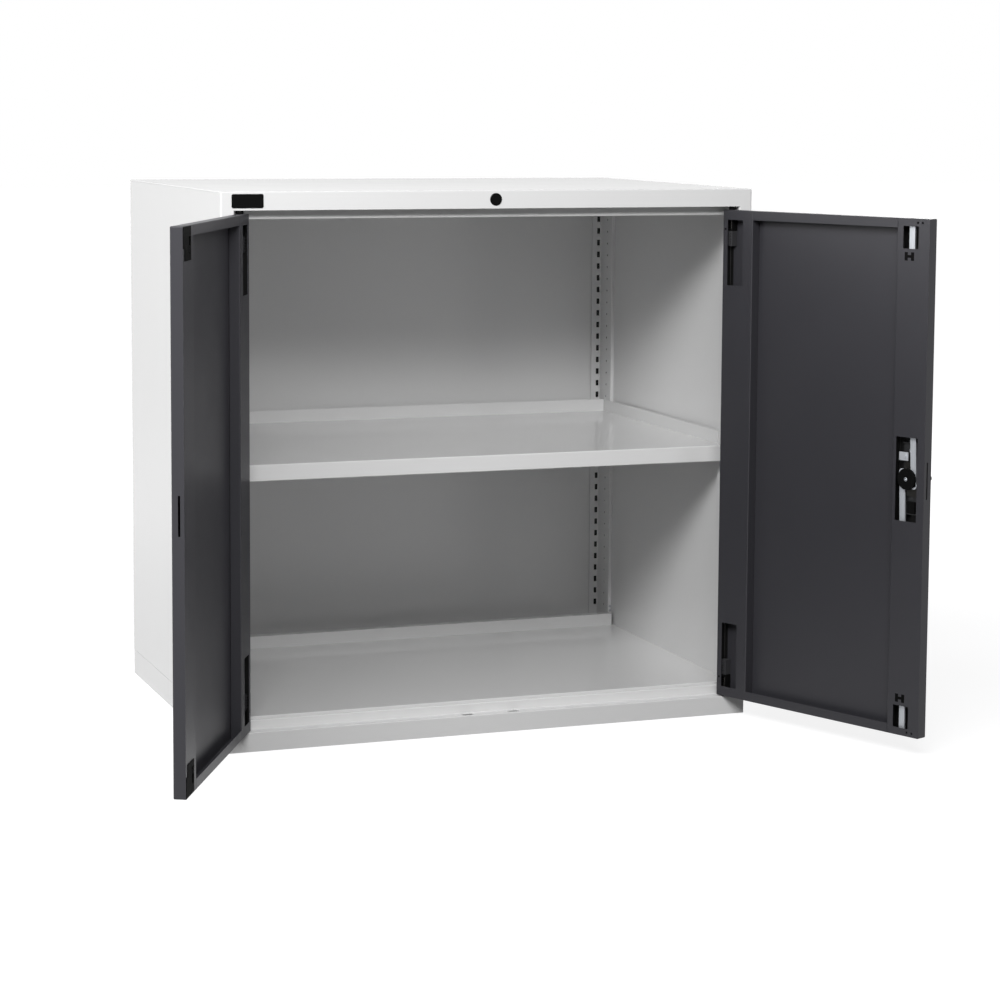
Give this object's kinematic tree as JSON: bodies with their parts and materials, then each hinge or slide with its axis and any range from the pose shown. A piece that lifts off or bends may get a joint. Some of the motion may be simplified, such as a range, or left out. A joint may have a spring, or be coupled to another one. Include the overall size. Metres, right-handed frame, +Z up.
{
  "type": "tool cabinet with doors",
  "caption": "Free-standing sheet-steel tool cabinet with hinged double doors, a turn-knob rod lock, flush bolts and a lift-out shelf on slotted uprights.",
  "frame": {"origin": "middle of the cabinet's footprint on the floor, in the plane of the base tray's underside", "axes": "+Z up, +Y from the doors to the back panel, +X to the right as seen from the front; the rest pose has both doors open"},
  "size_m": [1.3785, 1.1599, 1],
  "materials": {
    "grey_powder_coat": "satin powder coat",
    "anthracite_powder_coat": "fine satin powder coat",
    "black_plastic": "moulded, fine texture",
    "zinc_plated_steel": "bright zinc plate",
    "dark_steel": "painted pressing"
  },
  "bodies": {
    "cabinet": {"base_tray": "grey_powder_coat", "sill_rail": "grey_powder_coat", "floor_tray": "grey_powder_coat", "side_panel_left": "grey_powder_coat", "side_panel_right": "grey_powder_coat", "back_panel": "grey_powder_coat", "top_panel": "grey_powder_coat", "top_rail": "grey_powder_coat", "rear_upright_left": "grey_powder_coat", "rear_upright_right": "grey_powder_coat", "front_upright_left": "grey_powder_coat", "front_upright_right": "grey_powder_coat", "upright_rivets": "zinc_plated_steel", "shelf_clips": "zinc_plated_steel", "fascia_plug": "black_plastic", "badge_plate": "black_plastic", "hinge_bushes": "black_plastic"},
    "shelf": {"shelf": "grey_powder_coat"},
    "left_door": {"left_door_skin": "anthracite_powder_coat", "left_hinge_stile": "anthracite_powder_coat", "left_lock_stile": "anthracite_powder_coat", "left_pin_housings": "black_plastic", "left_top_pin_spring": "dark_steel", "left_bottom_pin_spring": "dark_steel", "flush_bolt_housings": "black_plastic"},
    "left_top_pin": {"left_top_pin": "dark_steel", "left_top_pin_slider": "black_plastic"},
    "left_bottom_pin": {"left_bottom_pin": "dark_steel", "left_bottom_pin_slider": "black_plastic"},
    "top_flush_bolt": {"top_flush_bolt": "black_plastic"},
    "bottom_flush_bolt": {"bottom_flush_bolt": "black_plastic"},
    "right_door": {"right_door_skin": "anthracite_powder_coat", "right_hinge_stile": "anthracite_powder_coat", "right_lock_stile": "anthracite_powder_coat", "right_pin_housings": "black_plastic", "right_top_pin_spring": "dark_steel", "right_bottom_pin_spring": "dark_steel", "lock_case": "dark_steel", "case_screws": "zinc_plated_steel", "screw_cap": "black_plastic", "case_bracket": "zinc_plated_steel", "rod_guides": "black_plastic", "escutcheon": "black_plastic"},
    "right_top_pin": {"right_top_pin": "dark_steel", "right_top_pin_slider": "black_plastic"},
    "right_bottom_pin": {"right_bottom_pin": "dark_steel", "right_bottom_pin_slider": "black_plastic"},
    "handle": {"knob": "black_plastic", "spindle": "zinc_plated_steel", "cam_disc": "black_plastic", "cam_screw": "zinc_plated_steel"},
    "cylinder": {"key_cylinder": "zinc_plated_steel"},
    "upper_rod": {"upper_rod": "zinc_plated_steel"},
    "lower_rod": {"lower_rod": "zinc_plated_steel"},
    "deadbolt": {"deadbolt": "dark_steel"}
  },
  "joints": [
    {"name": "shelf_lift", "type": "slide", "parent": "cabinet", "child": "shelf", "axis": [0, 0, 1], "range_m": [0, 0.02]},
    {"name": "left_door_hinge", "type": "hinge", "parent": "cabinet", "child": "left_door", "pos_m": [-0.475, -0.3555, 0.49875], "axis": [0, 0, -1], "range_deg": [-117.3, 2.7]},
    {"name": "right_door_hinge", "type": "hinge", "parent": "cabinet", "child": "right_door", "pos_m": [0.475, -0.3555, 0.49875], "axis": [0, 0, 1], "range_deg": [-112.8, 7.2]},
    {"name": "left_top_pin_slide", "type": "slide", "parent": "left_door", "child": "left_top_pin", "axis": [0, 0, -1], "range_m": [0, 0.0095], "stiffness_N_per_m": 500, "springref_m": -0.012, "deforming": ["left_top_pin_spring"]},
    {"name": "left_bottom_pin_slide", "type": "slide", "parent": "left_door", "child": "left_bottom_pin", "axis": [0, 0, 1], "range_m": [0, 0.0095], "stiffness_N_per_m": 500, "springref_m": -0.012, "deforming": ["left_bottom_pin_spring"]},
    {"name": "right_top_pin_slide", "type": "slide", "parent": "right_door", "child": "right_top_pin", "axis": [0, 0, -1], "range_m": [0, 0.0095], "stiffness_N_per_m": 500, "springref_m": -0.012, "deforming": ["right_top_pin_spring"]},
    {"name": "right_bottom_pin_slide", "type": "slide", "parent": "right_door", "child": "right_bottom_pin", "axis": [0, 0, 1], "range_m": [0, 0.0095], "stiffness_N_per_m": 500, "springref_m": -0.012, "deforming": ["right_bottom_pin_spring"]},
    {"name": "top_flush_bolt_slide", "type": "slide", "parent": "left_door", "child": "top_flush_bolt", "axis": [0, 0, 1], "range_m": [0, 0.013]},
    {"name": "bottom_flush_bolt_slide", "type": "slide", "parent": "left_door", "child": "bottom_flush_bolt", "axis": [0, 0, -1], "range_m": [0, 0.013]},
    {"name": "handle_turn", "type": "hinge", "parent": "right_door", "child": "handle", "pos_m": [0.64878, -0.75085, 0.49875], "axis": [-0.9219, -0.3875, 0], "range_deg": [0, 90]},
    {"name": "cylinder_turn", "type": "hinge", "parent": "handle", "child": "cylinder", "pos_m": [0.66722, -0.7431, 0.49875], "axis": [-0.9219, -0.3875, 0], "range_deg": [0, 90]},
    {"name": "upper_rod_slide", "type": "slide", "parent": "right_door", "child": "upper_rod", "axis": [0, 0, 1], "range_m": [0, 0.02121]},
    {"name": "lower_rod_slide", "type": "slide", "parent": "right_door", "child": "lower_rod", "axis": [0, 0, -1], "range_m": [0, 0.02121]},
    {"name": "deadbolt_slide", "type": "slide", "parent": "right_door", "child": "deadbolt", "axis": [0.3875, -0.9219, 0], "range_m": [0, 0.012]}
  ],
  "couplings": [
    {"joint": "handle_turn", "follows": "upper_rod_slide", "rad_per_m": 74.049},
    {"joint": "lower_rod_slide", "follows": "upper_rod_slide", "ratio": 1},
    {"joint": "deadbolt_slide", "follows": "upper_rod_slide", "ratio": 0.56569}
  ]
}
